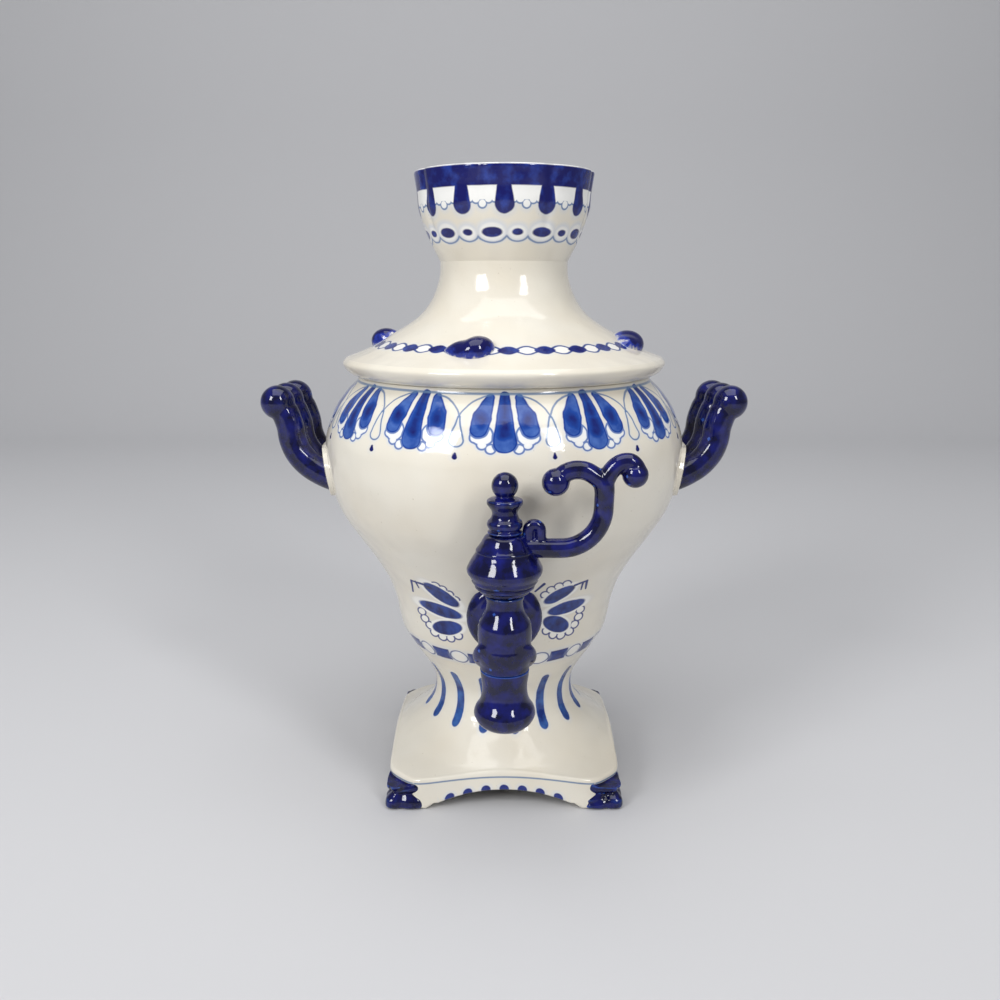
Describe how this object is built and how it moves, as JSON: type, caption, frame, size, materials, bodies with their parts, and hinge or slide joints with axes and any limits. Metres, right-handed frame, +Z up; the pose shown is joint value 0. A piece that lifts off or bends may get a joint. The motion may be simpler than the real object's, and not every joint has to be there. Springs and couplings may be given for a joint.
{
  "type": "porcelain samovar",
  "caption": "Porcelain samovar with a pear-shaped vessel on a square footed plinth, a crowned lift-off lid, scroll handles and a front tap with a turning key.",
  "frame": {"origin": "the centre of the bounding box's bottom, in the plane that the feet stand on; the vessel's vertical axis is 12.5 mm behind it, at +Y", "axes": "+Z up along the vessel's axis; the tap points along -Y; the handles lie along +X and -X"},
  "size_m": [0.2046, 0.178, 0.26],
  "materials": {
    "painted_porcelain": "cream white porcelain under clear glaze, hand painted in cobalt",
    "cobalt_porcelain": "solid dark cobalt under clear glaze"
  },
  "bodies": {
    "vessel": {"body_shell": "painted_porcelain", "pedestal": "painted_porcelain", "plinth": "painted_porcelain", "foot_front_left": "cobalt_porcelain", "foot_front_right": "cobalt_porcelain", "foot_back_left": "cobalt_porcelain", "foot_back_right": "cobalt_porcelain", "handle_pad_left": "painted_porcelain", "handle_pad_right": "painted_porcelain", "handle_left": "cobalt_porcelain", "handle_right": "cobalt_porcelain", "tap_rosette": "cobalt_porcelain", "tap_barrel": "cobalt_porcelain", "tap_spout": "cobalt_porcelain"},
    "lid": {"lid_shell": "painted_porcelain", "lid_ring": "painted_porcelain", "crown": "painted_porcelain", "boss_front": "cobalt_porcelain", "boss_right": "cobalt_porcelain", "boss_back": "cobalt_porcelain", "boss_left": "cobalt_porcelain"},
    "key": {"key_plug": "cobalt_porcelain", "key_bulb": "cobalt_porcelain", "key_finial": "cobalt_porcelain", "key_lever": "cobalt_porcelain"}
  },
  "joints": [
    {"name": "lid_lift", "type": "slide", "parent": "vessel", "child": "lid", "axis": [0, 0, 1], "range_m": [0, 0.04]},
    {"name": "key_turn", "type": "hinge", "parent": "vessel", "child": "key", "pos_m": [0, -0.0755, 0.108], "axis": [0, 0, 1], "range_deg": [-90, 0]}
  ]
}
